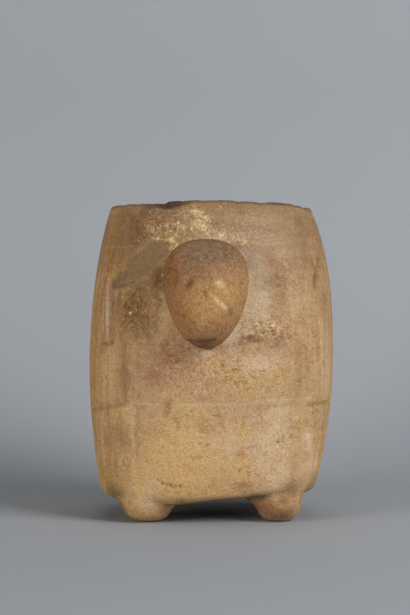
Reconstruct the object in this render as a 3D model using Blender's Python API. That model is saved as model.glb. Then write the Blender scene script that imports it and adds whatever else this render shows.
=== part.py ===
# Four-footed stone vase. One block, carved into a barrel-shaped vessel that stands on four feet,
# with an animal's head standing out of the front wall and a bent limb in low relief at each corner.
# Metres, +Z up. The head faces -Y. The origin is on the floor, at the middle of the vase's box.

import math

import bmesh
import bpy
from mathutils import Vector

# Body
vase_height = 0.180
foot_height = 0.012
belly_height = 0.092
belly_width = 0.1420
belly_depth = 0.128
rim_width = 0.1166
rim_depth = 0.1110
base_width = 0.1224
base_depth = 0.1100
shoulder_curve = 2.4
hip_curve = 2.0
rim_squareness = 2.05
base_squareness = 3.1
base_lean = -0.0022
shoulder_lean = 0.0008
base_edge_radius = 0.0095
underside_rise = 0.001

# Rim and cavity
lip_radius = 0.0030
mouth_edge_radius = 0.0025
rim_wall = 0.0105
belly_wall = 0.0150
floor_thickness = 0.018
cavity_corner_radius = 0.016

# Limbs in low relief
limb_rise = 0.0013
limb_edge_width = 0.0016
limb_edge_azimuth = math.radians(1.6)
forearm_top = 0.100
forearm_bottom = 0.0672
shank_top = 0.0645
arm_band_rise = 0.0006
# Each limb's first and last azimuth, in degrees from the front, and its lowest and highest edge
limbs = {
    "left upper arm": (-61, -53, forearm_bottom, 0.1345),
    "left forearm": (-61, -43, forearm_bottom, forearm_top),
    "left foreleg": (-61, -37.5, 0.0, shank_top),
    "right upper arm": (58, 65, forearm_bottom, 0.1440),
    "right forearm": (47, 65, forearm_bottom, forearm_top),
    "right foreleg": (50, 65, 0.0, shank_top),
    "right hind leg": (119, 141, 0.0, shank_top),
    "left hind leg": (-142, -120, 0.0, shank_top),
}
arm_band = (-43, 47, forearm_bottom, forearm_top)

# Feet: how far their middles lie inside the base, and the sizes of their pads and of their tops
foot_inset_x = 0.0250
foot_inset_y = 0.0235
foot_pad_width = 0.0160
foot_pad_depth = 0.0155
foot_top_width = 0.0350
foot_top_depth = 0.0320
foot_squareness = 2.4
foot_root_height = 0.007
foot_root_taper = 0.0010
# Hand-carved differences of each foot: its shift in x, and its scale at the pad and at the top
foot_quirks = {
    ("front", "left"): (0.0002, 1.20, 1.08),
    ("front", "right"): (0.0008, 1.06, 0.94),
    ("back", "left"): (0.0004, 1.00, 1.00),
    ("back", "right"): (-0.0006, 1.03, 0.97),
}

# Head
head_offset = -0.0030
chin_height = 0.0985
head_height = 0.0593
head_width = 0.0468
head_reach = 0.0250
head_neck = 0.0030
head_root = 0.0070
widest_share = 0.62
muzzle_share = 0.33
eye_spacing = 0.0190
eye_height_share = 0.60
eye_radius = 0.0040
eye_depth = 0.0013
face_turn = -0.0018
mouth_share = 0.060
mouth_radius = 0.0009
mouth_sweep = math.radians(62)

# Worn places in the rim and in the base's edge, as azimuth from the front, half-span and depth
rim_chips = (
    (math.radians(-41), math.radians(17), 0.0012),
    (math.radians(34), math.radians(19), 0.0005),
    (math.radians(71), math.radians(17), 0.0019),
    (math.radians(168), math.radians(17), 0.0008),
)
base_chips = (
    (math.radians(27), math.radians(34), 0.0024),
    (math.radians(80), math.radians(24), 0.0018),
    (math.radians(-155), math.radians(24), 0.0010),
)
chip_reach = 0.010

# How finely the surfaces are divided
longest_azimuth_step = math.radians(6.8)
longest_wall_step = 0.0105
edge_steps = 3
cavity_sides = 42
cavity_steps = 6
head_sides = 26
head_rings = 15
foot_sides = 20
mouth_sides = 8
mouth_steps = 8

# The head makes the box deeper in front, so the vessel's axis lies behind the box's middle
axis_y = head_reach / 2


def smooth_step(share):
    share = min(1.0, max(0.0, share))
    return share * share * (3 - 2 * share)


def span_mask(value, low, high, edge):
    """1 between low and high, falling to 0 across the edge's width."""
    rising = smooth_step((value - low) / edge + 0.5)
    falling = smooth_step((high - value) / edge + 0.5)
    return rising * falling


def bulge(height, belly, rim, base):
    """A half-size of the barrel at a height: widest at the belly, closing to the rim and to the base."""
    if height >= belly_height:
        share = (height - belly_height) / (vase_height - belly_height)
        return (belly - (belly - rim) * share**shoulder_curve) / 2
    share = (belly_height - height) / (belly_height - foot_height)
    return (belly - (belly - base) * share**hip_curve) / 2


def half_width(height):
    return bulge(height, belly_width, rim_width, base_width)


def half_depth(height):
    return bulge(height, belly_depth, rim_depth, base_depth)


def lean(height):
    """Sideways drift of the hand-carved body from its axis."""
    if height < belly_height:
        return base_lean * ((belly_height - height) / (belly_height - foot_height)) ** 2
    return shoulder_lean * math.sin(math.pi * (height - belly_height) / (vase_height - belly_height))


def oval_radius(azimuth, width, depth, squareness):
    """Distance from the axis to a rounded rectangle of these half-sizes."""
    across = (abs(math.sin(azimuth)) / width) ** squareness
    along = (abs(math.cos(azimuth)) / depth) ** squareness
    return (across + along) ** (-1 / squareness)


def block_mask(azimuth, height, block):
    """1 inside a carved block of the wall, falling to 0 across its edges."""
    first, last, bottom, top = block
    turned = math.remainder(azimuth, math.tau)
    across = span_mask(turned, math.radians(first), math.radians(last), limb_edge_azimuth)
    return across * span_mask(height, bottom, top, limb_edge_width)


def limb_relief(azimuth, height):
    """How far the carved limbs and the band of the forearms stand out of the wall."""
    limb = max(block_mask(azimuth, height, block) for block in limbs.values())
    return max(limb_rise * limb, arm_band_rise * block_mask(azimuth, height, arm_band))


def wall_radius(azimuth, height):
    share = (height - foot_height) / (vase_height - foot_height)
    squareness = base_squareness + (rim_squareness - base_squareness) * share
    plain = oval_radius(azimuth, half_width(height), half_depth(height), squareness)
    return plain + limb_relief(azimuth, height)


def chip_depth(azimuth, chips):
    depth = 0.0
    for centre, half_span, deepest in chips:
        away = abs(math.remainder(azimuth - centre, math.tau))
        depth = max(depth, deepest * smooth_step(1.6 * (1 - away / half_span)))
    return depth


def worn_height(azimuth, height, base_wear):
    """A height near the rim or the base, moved by the chips there."""
    near_rim = smooth_step((height - vase_height + chip_reach) / chip_reach)
    near_base = smooth_step((foot_height + chip_reach - height) / chip_reach) * base_wear
    return height - near_rim * chip_depth(azimuth, rim_chips) + near_base * chip_depth(azimuth, base_chips)


def body_point(azimuth, radius, height, base_wear=1.0):
    x = radius * math.sin(azimuth) + lean(height)
    y = -radius * math.cos(azimuth)
    return Vector((x, y + axis_y, worn_height(azimuth, height, base_wear)))


def filled_steps(breaks, longest_step):
    """The break values with evenly spaced ones between them, no further apart than the longest step."""
    values = []
    for low, high in zip(breaks, breaks[1:]):
        count = max(1, math.ceil((high - low) / longest_step))
        values += [low + (high - low) * i / count for i in range(count)]
    return values + [breaks[-1]]


def edge_pairs(edges, width):
    return {edge + side * width / 2 for edge in edges for side in (-1, 1)}


def body_azimuths():
    """A full turn of azimuths, with a pair at each edge of the carved limbs."""
    edges = {math.radians(azimuth) for block in limbs.values() for azimuth in block[:2]}
    pairs = edge_pairs(edges, limb_edge_azimuth)
    breaks = [-math.pi, *sorted(pairs | {-math.pi / 2, 0.0, math.pi / 2}), math.pi]
    return filled_steps(breaks, longest_azimuth_step)[:-1]


def wall_heights():
    """Heights of the wall's rings, with a pair at each edge of the carved limbs."""
    bottom = foot_height + base_edge_radius
    top = vase_height - lip_radius
    edges = {height for block in limbs.values() for height in block[2:] if bottom < height < top}
    return filled_steps([bottom, *sorted(edge_pairs(edges, limb_edge_width)), top], longest_wall_step)


def body_rings():
    """Rings of the solid barrel, from the middle of its underside up the wall to the middle of its top."""
    azimuths = body_azimuths()
    bottom, *_, top = wall_heights()
    rings = []
    for share in (0.30, 0.65, 0.90):
        height = foot_height + underside_rise * (1 - share)
        radii = [share * (wall_radius(a, bottom) - base_edge_radius) for a in azimuths]
        rings.append([body_point(a, radius, height, share**3) for a, radius in zip(azimuths, radii)])
    for step in range(edge_steps):
        turn = math.pi / 2 * step / edge_steps
        inset = base_edge_radius * (1 - math.sin(turn))
        height = foot_height + base_edge_radius * (1 - math.cos(turn))
        rings.append([body_point(a, wall_radius(a, bottom) - inset, height) for a in azimuths])
    for height in wall_heights():
        rings.append([body_point(a, wall_radius(a, height), height) for a in azimuths])
    for step in range(1, edge_steps + 1):
        turn = math.pi / 2 * step / edge_steps
        inset = lip_radius * (1 - math.cos(turn))
        height = top + lip_radius * math.sin(turn)
        rings.append([body_point(a, wall_radius(a, top) - inset, height) for a in azimuths])
    land = lip_radius + rim_wall
    rings.append([body_point(a, wall_radius(a, top) - land, vase_height) for a in azimuths])
    return rings


def cavity_rings():
    """Rings of the cutter that hollows the vessel, from the floor of the cavity to above the mouth."""
    floor_height = foot_height + floor_thickness
    corner_top = floor_height + cavity_corner_radius
    edge_bottom = vase_height - mouth_edge_radius
    azimuths = [math.tau * i / cavity_sides for i in range(cavity_sides)]

    def inner_radius(azimuth, height):
        share = smooth_step((vase_height - height) / (vase_height - belly_height))
        wall = rim_wall + (belly_wall - rim_wall) * share
        return oval_radius(azimuth, half_width(height) - wall, half_depth(height) - wall, 2)

    def ring(height, offset, wall_height):
        return [
            Vector((
                (inner_radius(a, wall_height) + offset) * math.sin(a) + lean(wall_height),
                -(inner_radius(a, wall_height) + offset) * math.cos(a) + axis_y,
                height,
            ))
            for a in azimuths
        ]

    rings = [ring(floor_height, -2 * cavity_corner_radius, corner_top)]
    for step in range(edge_steps + 1):
        turn = math.pi / 2 * step / (edge_steps + 1)
        height = floor_height + cavity_corner_radius * (1 - math.cos(turn))
        rings.append(ring(height, -cavity_corner_radius * (1 - math.sin(turn)), corner_top))
    for step in range(cavity_steps + 1):
        height = corner_top + (edge_bottom - corner_top) * step / cavity_steps
        rings.append(ring(height, 0.0, height))
    for step in range(1, edge_steps + 1):
        turn = math.pi / 2 * step / edge_steps
        height = edge_bottom + mouth_edge_radius * math.sin(turn)
        rings.append(ring(height, mouth_edge_radius * (1 - math.cos(turn)), edge_bottom))
    above = vase_height + mouth_edge_radius
    rings.append(ring(above, 2 * mouth_edge_radius, edge_bottom))
    return rings


def foot_rings(end, side):
    """Rings of one foot, from its flat pad up through a rounded sole to a flare inside the body."""
    shift, pad_scale, top_scale = foot_quirks[end, side]
    pad = (pad_scale * foot_pad_width / 2, pad_scale * foot_pad_depth / 2)
    top = (top_scale * foot_top_width / 2, top_scale * foot_top_depth / 2)
    # Share of the foot's height, and share of the way from the pad's size to the top's
    profile = ((0.0, 0.0), (0.04, 0.14), (0.15, 0.27), (0.35, 0.42), (0.60, 0.60), (0.82, 0.80), (1.0, 1.0))
    out_x = -1 if side == "left" else 1
    out_y = -1 if end == "front" else 1
    centre_x = out_x * (base_width / 2 - foot_inset_x) + shift
    centre_y = out_y * (base_depth / 2 - foot_inset_y) + axis_y
    sizes = []
    for height_share, size_share in profile:
        width, depth = (low + (high - low) * size_share for low, high in zip(pad, top))
        sizes.append((foot_height * height_share, width, depth))
    sizes.append((foot_height + foot_root_height, top[0] - foot_root_taper, top[1] - foot_root_taper))
    rings = []
    for height, width, depth in sizes:
        ring = []
        for i in range(foot_sides):
            turn = math.tau * i / foot_sides
            radius = oval_radius(turn, width, depth, foot_squareness)
            x = centre_x + radius * math.sin(turn)
            y = centre_y - radius * math.cos(turn)
            ring.append(Vector((x, y, height)))
        rings.append(ring)
    return rings


def head_half_width(share):
    """Half the head's width at a share of its height above the chin: an egg, blunt at the crown."""
    if share < widest_share:
        away = (widest_share - share) / widest_share
        return head_width / 2 * math.sqrt(1 - away**1.75)
    away = (share - widest_share) / (1 - widest_share)
    return head_width / 2 * (1 - away**2.4) ** (1 / 2.4)


def head_projection(share):
    """How far the head stands out of the wall: furthest at the muzzle, sloping back to the crown."""
    if share < muzzle_share:
        away = (muzzle_share - share) / muzzle_share
        return head_reach * (1 - away**2.4) ** (1 / 2.4)
    away = (share - muzzle_share) / (1 - muzzle_share)
    return head_reach * (1 - away**1.6) ** (1 / 1.6)


def eye_hollow(across, share):
    """Depth of the two worn eye hollows at a place on the face."""
    depth = 0.0
    up = (share - eye_height_share) * head_height
    for side in (-1, 1):
        sideways = across - face_turn - side * eye_spacing / 2
        depth += eye_depth * math.exp(-(sideways**2 + up**2) / eye_radius**2)
    return depth


def head_point(turn, share):
    """A point of the head's surface, by its turn from straight ahead and its share of the height."""
    height = chin_height + head_height * share
    wall = half_depth(height)
    centre = head_neck + wall
    front = max(head_projection(share) + half_depth(belly_height) - wall - head_neck, head_neck / 2)
    back = head_neck + head_root
    depth = front if math.cos(turn) > 0 else back
    radius = oval_radius(turn, max(head_half_width(share), 0.0008), depth, 2.15)
    x = radius * math.sin(turn)
    y = -centre - radius * math.cos(turn)
    if math.cos(turn) > 0:
        y += eye_hollow(x, share)
    return Vector((x + head_offset, y + axis_y, height))


def head_shares():
    """Shares of the head's height, closer together towards the chin and the crown."""
    return [(1 - math.cos(math.pi * i / (head_rings - 1))) / 2 for i in range(head_rings)]


def head_surface_rings():
    turns = [math.tau * i / head_sides for i in range(head_sides)]
    shares = [min(max(s, 0.004), 0.996) for s in head_shares()]
    return [[head_point(turn, share) for turn in turns] for share in shares]


def mouth_rings():
    """Rings of the round-nosed groove that cuts the mouth across the tip of the muzzle."""
    rings = []
    for step in range(mouth_steps + 1):
        along = 2 * step / mouth_steps - 1
        turn = mouth_sweep * along
        point = head_point(turn, mouth_share)
        outward = Vector((math.sin(turn), -math.cos(turn), 0.0))
        size = mouth_radius * math.sqrt(max(0.05, 1 - along**4))
        ring = []
        for i in range(mouth_sides):
            around = math.tau * i / mouth_sides
            ring.append(point + 2 * size * math.cos(around) * outward + Vector((0, 0, size * math.sin(around))))
        rings.append(ring)
    return rings


def lofted_object(name, rings):
    """A closed mesh through a list of rings that have equal numbers of points."""
    shape = bmesh.new()
    levels = [[shape.verts.new(point) for point in ring] for ring in rings]
    count = len(levels[0])
    for lower, upper in zip(levels, levels[1:]):
        for i in range(count):
            j = (i + 1) % count
            shape.faces.new((lower[i], lower[j], upper[j], upper[i]))
    shape.faces.new(levels[0])
    shape.faces.new(levels[-1])
    bmesh.ops.recalc_face_normals(shape, faces=shape.faces)
    mesh = bpy.data.meshes.new(name)
    shape.to_mesh(mesh)
    shape.free()
    made = bpy.data.objects.new(name, mesh)
    bpy.context.scene.collection.objects.link(made)
    return made


def helper(name, rings):
    """A lofted shape that is joined to the vase or cut from it, and isn't a piece of its own."""
    made = lofted_object(name, rings)
    made.hide_render = True
    made.display_type = "WIRE"
    return made


def stone_material():
    stone = bpy.data.materials.new("buff stone")
    stone.use_nodes = True
    shader = stone.node_tree.nodes["Principled BSDF"]
    shader.inputs["Base Color"].default_value = (0.42, 0.27, 0.13, 1)
    shader.inputs["Roughness"].default_value = 0.72
    shader.inputs["Metallic"].default_value = 0.0
    return stone


def clear_scene():
    for old in list(bpy.data.objects):
        bpy.data.objects.remove(old)


def build_vase():
    vase = lofted_object("vase", body_rings())
    joined = [helper("head_form", head_surface_rings())]
    for end, side in foot_quirks:
        joined.append(helper(f"foot_form_{end}_{side}", foot_rings(end, side)))
    cut = [helper("cavity_cutter", cavity_rings()), helper("mouth_cutter", mouth_rings())]
    for operation, forms in (("UNION", joined), ("DIFFERENCE", cut)):
        for form in forms:
            step = vase.modifiers.new(form.name, "BOOLEAN")
            step.operation = operation
            step.solver = "EXACT"
            step.object = form
    vase.data.materials.append(stone_material())
    vase.data.shade_smooth()
    vase.data.set_sharp_from_angle(angle=math.radians(35))
    return vase


clear_scene()
build_vase()
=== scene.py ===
import itertools
import math

import bpy
import numpy as np
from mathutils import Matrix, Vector


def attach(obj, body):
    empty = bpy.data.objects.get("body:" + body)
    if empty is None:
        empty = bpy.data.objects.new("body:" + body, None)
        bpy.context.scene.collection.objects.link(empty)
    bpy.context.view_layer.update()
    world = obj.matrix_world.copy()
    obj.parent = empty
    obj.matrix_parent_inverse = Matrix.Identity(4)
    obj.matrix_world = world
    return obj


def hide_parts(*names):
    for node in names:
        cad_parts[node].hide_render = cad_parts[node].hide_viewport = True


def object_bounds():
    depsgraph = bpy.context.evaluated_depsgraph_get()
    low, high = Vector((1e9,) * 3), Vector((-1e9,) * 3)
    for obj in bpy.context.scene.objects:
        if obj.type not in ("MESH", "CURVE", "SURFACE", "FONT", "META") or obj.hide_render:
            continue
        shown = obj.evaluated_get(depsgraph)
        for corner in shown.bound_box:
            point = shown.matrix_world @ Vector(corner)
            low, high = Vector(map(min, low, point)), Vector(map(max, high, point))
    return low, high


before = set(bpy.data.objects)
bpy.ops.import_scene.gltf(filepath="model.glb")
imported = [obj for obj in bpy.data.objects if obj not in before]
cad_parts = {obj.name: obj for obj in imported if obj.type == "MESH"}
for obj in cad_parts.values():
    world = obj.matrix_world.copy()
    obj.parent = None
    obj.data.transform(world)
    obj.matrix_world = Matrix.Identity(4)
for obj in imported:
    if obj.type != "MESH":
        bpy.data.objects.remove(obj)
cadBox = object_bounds()
print("CAD frame loaded")

# The vase is drawn in millimetres and turned to metres at the end. Azimuths are degrees from the front (-Y),
# positive towards +X, which is the viewer's right.
toMetres = 0.001
mmPerDegree = 1.12  # across the front wall, for stains and lumps
axisY = 12.5  # the vessel's own axis lies behind the middle of the box, because the head stands out in front

cameraSettings = {
    "place": (-3.5, -871.0, 120.5),  # level, at the height of the vase's upper third
    "lens": 87.8,  # as the photo was taken from about 0.9 m
    "longSide": 36.0,  # of the film, in mm
    "clip": (0.05, 20.0),  # metres
}

cameraData = bpy.data.cameras.new("studioCamera")
cameraData.sensor_width = cameraSettings["longSide"]
cameraData.lens = cameraSettings["lens"]
cameraData.clip_start, cameraData.clip_end = cameraSettings["clip"]
camera = bpy.data.objects.new("studioCamera", cameraData)
camera.location = [toMetres * value for value in cameraSettings["place"]]
camera.rotation_euler = (math.pi / 2, 0, 0)
bpy.context.scene.collection.objects.link(camera)
bpy.context.scene.camera = camera


def toLinear(hexColour):
    parts = [int(hexColour[i : i + 2], 16) / 255 for i in (1, 3, 5)]
    return [p / 12.92 if p <= 0.04045 else ((p + 0.055) / 1.055) ** 2.4 for p in parts] + [1.0]


def addNode(tree, kind, settings, links=None, output=0):
    # a setting is one of the node's own options or the value of one of its sockets; the chosen output comes back
    node = tree.nodes.new("ShaderNode" + kind)
    for name, value in settings.items():
        if isinstance(name, str) and hasattr(node, name):
            setattr(node, name, value)
        else:
            node.inputs[name].default_value = value
    for name, source in (links or {}).items():
        tree.links.new(source, node.inputs[name])
    return node.outputs[output]


def smooth(share):
    share = np.clip(share, 0.0, 1.0)
    return share * share * (3 - 2 * share)


def span(value, low, high, edge):
    # 1 between low and high, falling to 0 across the edge's width
    return smooth((value - low) / edge + 0.5) * smooth((high - value) / edge + 0.5)


def ramp(value, start, width):
    # 0 up to start, then growing to 1 across the width; a negative width grows the other way
    return smooth((value - start) / width)


def bell(value, centre, halfWidth):
    return np.exp(-(((value - centre) / halfWidth) ** 2))


def turnTo(azimuth, centre):
    return (azimuth - centre + 180.0) % 360.0 - 180.0


def stoneNoise(points, size, seed, octaves=3):
    # repeatable smooth noise from -1 to 1, whose largest lumps are size millimetres
    total, weight, reach = 0.0, 1.0, 0.0
    for octave in range(octaves):
        spot = points / size + 31.7 * (seed + octave)
        cell = np.floor(spot).astype(np.int64)
        part = spot - cell
        part = part * part * (3 - 2 * part)
        value = 0.0
        for corner in itertools.product((0, 1), repeat=3):
            share = np.prod(np.where(corner, part, 1 - part), axis=1)
            keys = (cell + corner) * (73856093, 19349663, 83492791)
            mixed = (keys[:, 0] ^ keys[:, 1] ^ keys[:, 2] ^ (7919 * (seed + octave))) & 0xFFFFFFFF
            mixed = ((mixed ^ (mixed >> 13)) * 1274126177) & 0xFFFFFFFF
            value = value + share * (((mixed ^ (mixed >> 16)) & 0xFFFF) / 65535)
        total = total + weight * (2 * value - 1)
        reach += weight
        weight *= 0.5
        size /= 2
    return total / reach


body = {
    "height": 180.0,
    "footHeight": 12.0,
    "bellyHeight": 92.0,
    "belly": (142.0, 128.0),  # width, depth
    "rim": (116.6, 111.0),
    "base": (122.4, 110.0),
    "shoulderCurve": 2.4,
    "hipCurve": 2.0,
    "squareness": (3.1, 2.05),  # at the base, at the rim
    "baseLean": -2.2,
    "shoulderLean": 0.8,
    "baseEdge": (5.5, 9.5),  # rounding of the base's edge, at the middle of the front and at the corners
    "baseEdgeTurn": (42, -24),  # azimuth at which it begins to change, over how many degrees
    "undersideRise": 1.0,
    "lip": 2.2,
    "mouthEdge": 2.5,
    "rimWall": 10.5,
    "bellyWall": 15.0,
    "cavityFloor": 30.0,
    "cavityCorner": 16.0,
    # how far the worn rim lies below the full height, and the base's edge above the foot's height: azimuth, distance
    "rimLine": [
        (-180, 0.5), (-168, 0.7), (-150, 0.3), (-110, 0.4), (-75, 0.6), (-60, 1), (-54, 0.5), (-46, 0.9),
        (-38.5, 1.25), (-31, 0.95), (-23, 0.2), (-15, 0), (6, 0), (12, 0.15), (26, 0.6), (42, 0.4), (52, 0.8),
        (58.5, 1), (66, 2), (78, 1.7), (92, 0.5), (120, 0.3), (150, 0.4), (168, 0.8), (180, 0.5),
    ],
    "baseLine": [
        (-180, 0.3), (-155, 1), (-125, 0), (-62, 0), (-45, -0.8), (-18, -1.5), (0, 0.3), (12, 1.6), (24, 2.6),
        (40, 2.9), (62, 2.2), (80, 1.8), (104, 0.1), (180, 0.3),
    ],
    "wearReach": 10.0,
}


def bulge(z, side):
    belly, rim, base = (body[name][side] for name in ("belly", "rim", "base"))
    up = np.clip((z - body["bellyHeight"]) / (body["height"] - body["bellyHeight"]), 0, None)
    down = np.clip((body["bellyHeight"] - z) / (body["bellyHeight"] - body["footHeight"]), 0, None)
    return (belly - (belly - rim) * up ** body["shoulderCurve"] - (belly - base) * down ** body["hipCurve"]) / 2


def leanAt(z):
    up = (z - body["bellyHeight"]) / (body["height"] - body["bellyHeight"])
    down = (body["bellyHeight"] - z) / (body["bellyHeight"] - body["footHeight"])
    return np.where(z < body["bellyHeight"], body["baseLean"] * down**2, body["shoulderLean"] * np.sin(np.pi * up))


def oval(azimuth, width, depth, squareness):
    a = np.radians(azimuth)
    across = (np.abs(np.sin(a)) / width) ** squareness
    along = (np.abs(np.cos(a)) / depth) ** squareness
    return (across + along) ** (-1 / squareness)


def wallRadius(azimuth, z):
    share = (z - body["footHeight"]) / (body["height"] - body["footHeight"])
    low, high = body["squareness"]
    return oval(azimuth, bulge(z, 0), bulge(z, 1), low + (high - low) * share)


def baseEdgeAt(azimuth):
    middle, corner = body["baseEdge"]
    folded = np.minimum(np.abs(turnTo(azimuth, 0)), np.abs(turnTo(azimuth, 180)))
    return corner + (middle - corner) * ramp(folded, *body["baseEdgeTurn"])


def bodyRing(azimuth, radius, z, leanZ=None, baseWear=1.0):
    a = np.radians(azimuth)
    nearRim = smooth((z - body["height"] + body["wearReach"]) / body["wearReach"])
    nearBase = smooth((body["footHeight"] + body["wearReach"] - z) / body["wearReach"]) * baseWear
    drop, lift = (np.interp(turnTo(azimuth, 0), *zip(*body[line])) for line in ("rimLine", "baseLine"))
    height = z - nearRim * drop + nearBase * lift
    x = radius * np.sin(a) + leanAt(np.array(z if leanZ is None else leanZ))
    return np.stack([x, axisY - radius * np.cos(a), height + 0 * azimuth], axis=1)


def bodyRings():
    # one skin, from the middle of the underside up the wall, over the lip and down to the middle of the cavity's floor
    azimuth = np.arange(240) * 1.5
    foot, top = body["footHeight"], body["height"] - body["lip"]
    edge = baseEdgeAt(azimuth)
    bottom = foot + edge
    rings = []
    for share in (0.02, 0.2, 0.4, 0.6, 0.8, 0.9):
        rise = body["undersideRise"] * (1 - share)
        rings.append(bodyRing(azimuth, share * (wallRadius(azimuth, bottom) - edge), foot + rise, baseWear=share**3))
    for turn in np.radians(np.linspace(0, 90, 10)[:-1]):
        inset, rise = edge * (1 - math.sin(turn)), edge * (1 - math.cos(turn))
        rings.append(bodyRing(azimuth, wallRadius(azimuth, bottom) - inset, foot + rise))
    for share in np.linspace(0, 1, 90):
        z = bottom + (top - bottom) * share
        rings.append(bodyRing(azimuth, wallRadius(azimuth, z), z))
    for turn in np.radians(np.linspace(0, 90, 7)[1:]):
        inset = body["lip"] * (1 - math.cos(turn))
        rings.append(bodyRing(azimuth, wallRadius(azimuth, top) - inset, top + body["lip"] * math.sin(turn)))

    def inner(z):
        share = smooth((body["height"] - z) / (body["height"] - body["bellyHeight"]))
        wall = body["rimWall"] + (body["bellyWall"] - body["rimWall"]) * share
        return oval(azimuth, bulge(z, 0) - wall, bulge(z, 1) - wall, 2)

    edgeBottom = body["height"] - body["mouthEdge"]
    for turn in np.radians(np.linspace(90, 0, 7)[:-1]):
        outset, rise = body["mouthEdge"] * (1 - math.cos(turn)), body["mouthEdge"] * math.sin(turn)
        rings.append(bodyRing(azimuth, inner(edgeBottom) + outset, edgeBottom + rise, edgeBottom))
    cornerTop = body["cavityFloor"] + body["cavityCorner"]
    for z in np.linspace(edgeBottom, cornerTop, 60):
        rings.append(bodyRing(azimuth, inner(z), z))
    for turn in np.radians(np.linspace(90, 0, 12)[1:]):
        inset = body["cavityCorner"] * (1 - math.sin(turn))
        height = body["cavityFloor"] + body["cavityCorner"] * (1 - math.cos(turn))
        rings.append(bodyRing(azimuth, inner(cornerTop) - inset, height, cornerTop))
    floorRadius = inner(cornerTop) - body["cavityCorner"]
    for share in (0.7, 0.4, 0.02):
        rings.append(bodyRing(azimuth, share * floorRadius, body["cavityFloor"], cornerTop))
    return rings


feet = {
    "inset": (25.0, 23.5),
    "pad": (11.5, 12.0),
    "topInner": (36.0, 32.0),
    "topOuter": (30.0, 38.0),  # in front the foot's top is flush with the wall
    "squareness": (2.0, 2.7),  # at the pad, at the top
    "rootHeight": 7.0,
    # share of the foot's height, share of the way from the pad's size to the top's, inwards and outwards
    "profileInner": [
        (0, 0), (0.012, 0.09), (0.03, 0.15), (0.06, 0.22), (0.1, 0.28), (0.2, 0.38), (0.35, 0.47), (0.6, 0.6),
        (0.82, 0.82), (1, 1.1),
    ],
    "profileOuter": [
        (0, 0), (0.012, 0.11), (0.03, 0.2), (0.06, 0.3), (0.1, 0.4), (0.2, 0.57), (0.35, 0.73), (0.6, 0.88),
        (0.82, 0.96), (1, 1),
    ],
    "levels": (0.0, 0.012, 0.03, 0.06, 0.1, 0.15, 0.25, 0.35, 0.5, 0.65, 0.8, 0.9, 1.0),
    # each foot's sides (x, y), its shift, and its scale at the pad and at the top
    "each": [
        (-1, -1, 0.2, 1.20, 1.08),
        (1, -1, 1.6, 1.06, 0.94),
        (-1, 1, 0.4, 1.00, 1.00),
        (1, 1, -0.6, 1.03, 0.97),
    ],
}


def footRings(sideX, sideY, shift, padScale, topScale):
    azimuth = np.arange(72) * 5.0
    a = np.radians(azimuth)
    centreX = sideX * (body["base"][0] / 2 - feet["inset"][0]) + shift
    centreY = axisY + sideY * (body["base"][1] / 2 - feet["inset"][1])
    outwards = (sideX * np.sin(a), -sideY * np.cos(a))
    rings = []
    for share in feet["levels"] + (1 + feet["rootHeight"] / body["footHeight"],):
        growths = [np.interp(share, *zip(*feet[name])) for name in ("profileOuter", "profileInner")]
        sizes = []
        for pad, inner, outer, outward in zip(feet["pad"], feet["topInner"], feet["topOuter"], outwards):
            top = np.where(outward > 0, outer, inner) * topScale
            sizes.append((pad * padScale + (top - pad * padScale) * np.where(outward > 0, *growths)) / 2)
        padSquareness, topSquareness = feet["squareness"]
        radius = oval(azimuth, *sizes, padSquareness + (topSquareness - padSquareness) * min(share, 1.0))
        height = np.full(len(a), share * body["footHeight"])
        rings.append(np.stack([centreX + radius * np.sin(a), centreY - radius * np.cos(a), height], axis=1))
    return rings


head = {
    "offset": -3.0,
    "chin": 98.5,
    "height": 59.3,
    "width": 46.8,
    "reach": 25.0,
    "neck": 3.0,
    "root": 7.0,
    "widest": 0.62,
    "muzzle": 0.33,
    "squareness": 2.15,
    # powers of its curves below and above the fullest height, and their roots: of its width, of its reach
    "widthCurves": ((1.75, 2.0), (2.4, 2.4)),
    "reachCurves": ((2.4, 2.4), (1.6, 1.6)),
    "poleGap": 0.0015,
}


def fullness(share, fullest, below, above):
    # 1 at the head's fullest height, falling to 0 at its chin and its crown
    if share < fullest:
        away, (power, root) = (fullest - share) / fullest, below
    else:
        away, (power, root) = (share - fullest) / (1 - fullest), above
    return (1 - away**power) ** (1 / root)


def headRings():
    azimuth = np.arange(120) * 3.0
    a = np.radians(azimuth)
    rings = []
    for turn in np.linspace(0, np.pi, 90):
        share = min(max((1 - math.cos(turn)) / 2, head["poleGap"]), 1 - head["poleGap"])
        half = fullness(share, head["widest"], *head["widthCurves"])
        reach = fullness(share, head["muzzle"], *head["reachCurves"])
        z = head["chin"] + head["height"] * share
        wall = bulge(z, 1)
        front = max(head["reach"] * reach + body["belly"][1] / 2 - wall - head["neck"], head["neck"] / 2)
        depth = np.where(np.cos(a) > 0, front, head["neck"] + head["root"])
        radius = oval(azimuth, head["width"] / 2 * half, depth, head["squareness"])
        y = axisY - head["neck"] - wall - radius * np.cos(a)
        rings.append(np.stack([head["offset"] + radius * np.sin(a), y, np.full(len(a), z)], axis=1))
    return rings


def loftAll(name, lofts):
    # closed skins through lists of rings, all in one mesh
    points, faces, start = [], [], 0
    for rings in lofts:
        count, levels = len(rings[0]), len(rings)
        points.append(np.concatenate(rings))
        i = np.arange(count)
        j = (i + 1) % count
        for level in range(levels - 1):
            low, high = start + level * count, start + (level + 1) * count
            faces += np.stack([low + i, low + j, high + j, high + i], axis=1).tolist()
        faces.append((start + i[::-1]).tolist())
        faces.append((start + (levels - 1) * count + i).tolist())
        start += count * levels
    mesh = bpy.data.meshes.new(name)
    mesh.from_pydata(np.concatenate(points) * toMetres, [], faces)
    mesh.update()
    made = bpy.data.objects.new(name, mesh)
    bpy.context.scene.collection.objects.link(made)
    return made


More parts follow.
